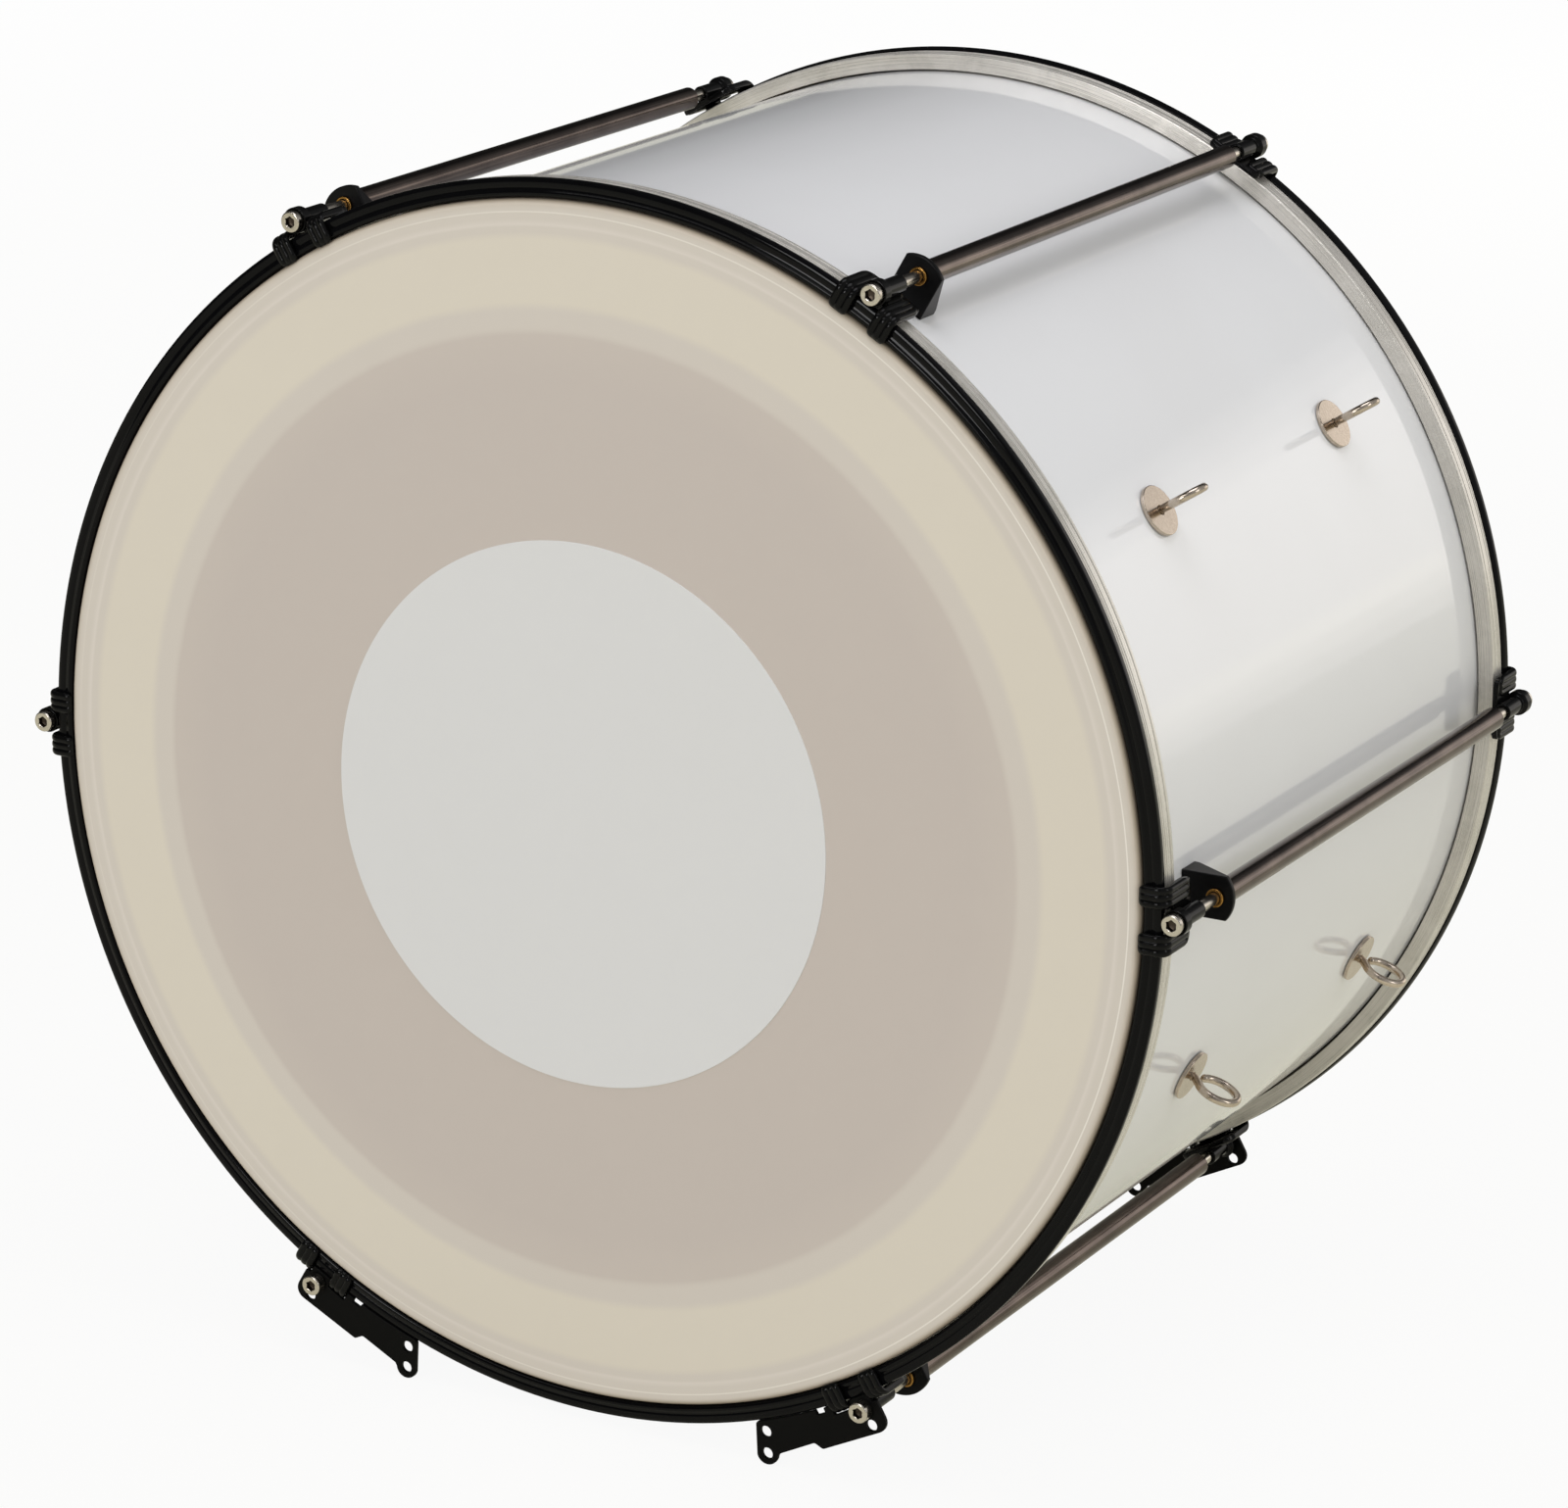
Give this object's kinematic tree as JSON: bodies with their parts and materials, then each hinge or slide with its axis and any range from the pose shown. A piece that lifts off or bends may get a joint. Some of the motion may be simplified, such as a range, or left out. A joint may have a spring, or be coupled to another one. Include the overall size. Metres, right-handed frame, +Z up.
{
  "type": "marching bass drum",
  "caption": "Large white marching bass drum with black rims, claws and feet, rod and tube tensioning, harness eye bolts on one side and a film head with a round centre patch.",
  "frame": {"origin": "on the floor under the drum's centre, at the bottom of the four foot lobes", "axes": "+Y from the playing head to the rear head along the drum's axis, +Z up, +X to the right as seen from the playing head, the side with the eye bolts"},
  "size_m": [0.664, 0.431, 0.6375],
  "materials": {
    "shell": "white high-gloss covering on plywood",
    "film": "satin cream drum film",
    "patch": "satin pale grey film patch",
    "muffle_film": "satin film ring under the head",
    "flesh_hoop": "brushed",
    "counter_hoop": "black gloss",
    "claw": "black gloss casting",
    "lug": "black satin casting",
    "foot_plate": "black satin sheet",
    "tube": "black nickel, brushed",
    "screw": "bright steel",
    "bush": "turned brass",
    "eye_bolt": "nickel plated"
  },
  "bodies": {
    "drum": {"shell": "shell", "front_head": "film", "front_flesh_hoop": "flesh_hoop", "rear_head": "film", "rear_flesh_hoop": "flesh_hoop", "front_patch": "patch", "muffle_ring": "muffle_film", "tube_lug_right": "lug", "lug_bush_right": "bush", "tension_tube_right": "tube", "tube_lug_upper_right": "lug", "lug_bush_upper_right": "bush", "tension_tube_upper_right": "tube", "tube_lug_upper_left": "lug", "lug_bush_upper_left": "bush", "tension_tube_upper_left": "tube", "tube_lug_left": "lug", "lug_bush_left": "bush", "tension_tube_left": "tube", "tube_lug_lower_left": "lug", "lug_bush_lower_left": "bush", "tension_tube_lower_left": "tube", "tube_lug_lower_right": "lug", "lug_bush_lower_right": "bush", "tension_tube_lower_right": "tube", "eye_bolt_upper_front": "eye_bolt", "eye_bolt_upper_rear": "eye_bolt", "eye_bolt_lower_front": "eye_bolt", "eye_bolt_lower_rear": "eye_bolt"},
    "front_rim": {"front_counter_hoop": "counter_hoop", "front_claw_right": "claw", "front_claw_upper_right": "claw", "front_claw_upper_left": "claw", "front_claw_left": "claw", "front_claw_lower_left": "claw", "front_foot_lower_left": "foot_plate", "front_claw_lower_right": "claw", "front_foot_lower_right": "foot_plate"},
    "rear_rim": {"rear_counter_hoop": "counter_hoop", "rear_claw_right": "claw", "rear_claw_upper_right": "claw", "rear_claw_upper_left": "claw", "rear_claw_left": "claw", "rear_claw_lower_left": "claw", "rear_foot_lower_left": "foot_plate", "rear_claw_lower_right": "claw", "rear_foot_lower_right": "foot_plate"},
    "front_right_screw": {"front_screw_right": "screw"},
    "rear_right_screw": {"rear_screw_right": "screw"},
    "front_upper_right_screw": {"front_screw_upper_right": "screw"},
    "rear_upper_right_screw": {"rear_screw_upper_right": "screw"},
    "front_upper_left_screw": {"front_screw_upper_left": "screw"},
    "rear_upper_left_screw": {"rear_screw_upper_left": "screw"},
    "front_left_screw": {"front_screw_left": "screw"},
    "rear_left_screw": {"rear_screw_left": "screw"},
    "front_lower_left_screw": {"front_screw_lower_left": "screw"},
    "rear_lower_left_screw": {"rear_screw_lower_left": "screw"},
    "front_lower_right_screw": {"front_screw_lower_right": "screw"},
    "rear_lower_right_screw": {"rear_screw_lower_right": "screw"}
  },
  "joints": [
    {"name": "front_rim_slide", "type": "slide", "parent": "drum", "child": "front_rim", "axis": [0, -1, 0], "range_m": [0, 0.024]},
    {"name": "rear_rim_slide", "type": "slide", "parent": "drum", "child": "rear_rim", "axis": [0, 1, 0], "range_m": [0, 0.024]},
    {"name": "front_right_screw_turn", "type": "hinge", "parent": "front_rim", "child": "front_right_screw", "pos_m": [0.3228, -0.2, 0.32152], "axis": [0, -1, 0], "range_deg": [0, 8641]},
    {"name": "front_upper_right_screw_turn", "type": "hinge", "parent": "front_rim", "child": "front_upper_right_screw", "pos_m": [0.1614, -0.2, 0.60107], "axis": [0, -1, 0], "range_deg": [0, 8641]},
    {"name": "front_upper_left_screw_turn", "type": "hinge", "parent": "front_rim", "child": "front_upper_left_screw", "pos_m": [-0.1614, -0.2, 0.60107], "axis": [0, -1, 0], "range_deg": [0, 8641]},
    {"name": "front_left_screw_turn", "type": "hinge", "parent": "front_rim", "child": "front_left_screw", "pos_m": [-0.3228, -0.2, 0.32152], "axis": [0, -1, 0], "range_deg": [0, 8641]},
    {"name": "front_lower_left_screw_turn", "type": "hinge", "parent": "front_rim", "child": "front_lower_left_screw", "pos_m": [-0.1614, -0.2, 0.04196], "axis": [0, -1, 0], "range_deg": [0, 8641]},
    {"name": "front_lower_right_screw_turn", "type": "hinge", "parent": "front_rim", "child": "front_lower_right_screw", "pos_m": [0.1614, -0.2, 0.04196], "axis": [0, -1, 0], "range_deg": [0, 8641]},
    {"name": "rear_right_screw_turn", "type": "hinge", "parent": "rear_rim", "child": "rear_right_screw", "pos_m": [0.3228, 0.2, 0.32152], "axis": [0, 1, 0], "range_deg": [0, 8641]},
    {"name": "rear_upper_right_screw_turn", "type": "hinge", "parent": "rear_rim", "child": "rear_upper_right_screw", "pos_m": [0.1614, 0.2, 0.60107], "axis": [0, 1, 0], "range_deg": [0, 8641]},
    {"name": "rear_upper_left_screw_turn", "type": "hinge", "parent": "rear_rim", "child": "rear_upper_left_screw", "pos_m": [-0.1614, 0.2, 0.60107], "axis": [0, 1, 0], "range_deg": [0, 8641]},
    {"name": "rear_left_screw_turn", "type": "hinge", "parent": "rear_rim", "child": "rear_left_screw", "pos_m": [-0.3228, 0.2, 0.32152], "axis": [0, 1, 0], "range_deg": [0, 8641]},
    {"name": "rear_lower_left_screw_turn", "type": "hinge", "parent": "rear_rim", "child": "rear_lower_left_screw", "pos_m": [-0.1614, 0.2, 0.04196], "axis": [0, 1, 0], "range_deg": [0, 8641]},
    {"name": "rear_lower_right_screw_turn", "type": "hinge", "parent": "rear_rim", "child": "rear_lower_right_screw", "pos_m": [0.1614, 0.2, 0.04196], "axis": [0, 1, 0], "range_deg": [0, 8641]}
  ],
  "couplings": [
    {"joint": "front_right_screw_turn", "follows": "front_rim_slide", "rad_per_m": 6283.2},
    {"joint": "front_upper_right_screw_turn", "follows": "front_rim_slide", "rad_per_m": 6283.2},
    {"joint": "front_upper_left_screw_turn", "follows": "front_rim_slide", "rad_per_m": 6283.2},
    {"joint": "front_left_screw_turn", "follows": "front_rim_slide", "rad_per_m": 6283.2},
    {"joint": "front_lower_left_screw_turn", "follows": "front_rim_slide", "rad_per_m": 6283.2},
    {"joint": "front_lower_right_screw_turn", "follows": "front_rim_slide", "rad_per_m": 6283.2},
    {"joint": "rear_right_screw_turn", "follows": "rear_rim_slide", "rad_per_m": 6283.2},
    {"joint": "rear_upper_right_screw_turn", "follows": "rear_rim_slide", "rad_per_m": 6283.2},
    {"joint": "rear_upper_left_screw_turn", "follows": "rear_rim_slide", "rad_per_m": 6283.2},
    {"joint": "rear_left_screw_turn", "follows": "rear_rim_slide", "rad_per_m": 6283.2},
    {"joint": "rear_lower_left_screw_turn", "follows": "rear_rim_slide", "rad_per_m": 6283.2},
    {"joint": "rear_lower_right_screw_turn", "follows": "rear_rim_slide", "rad_per_m": 6283.2}
  ]
}
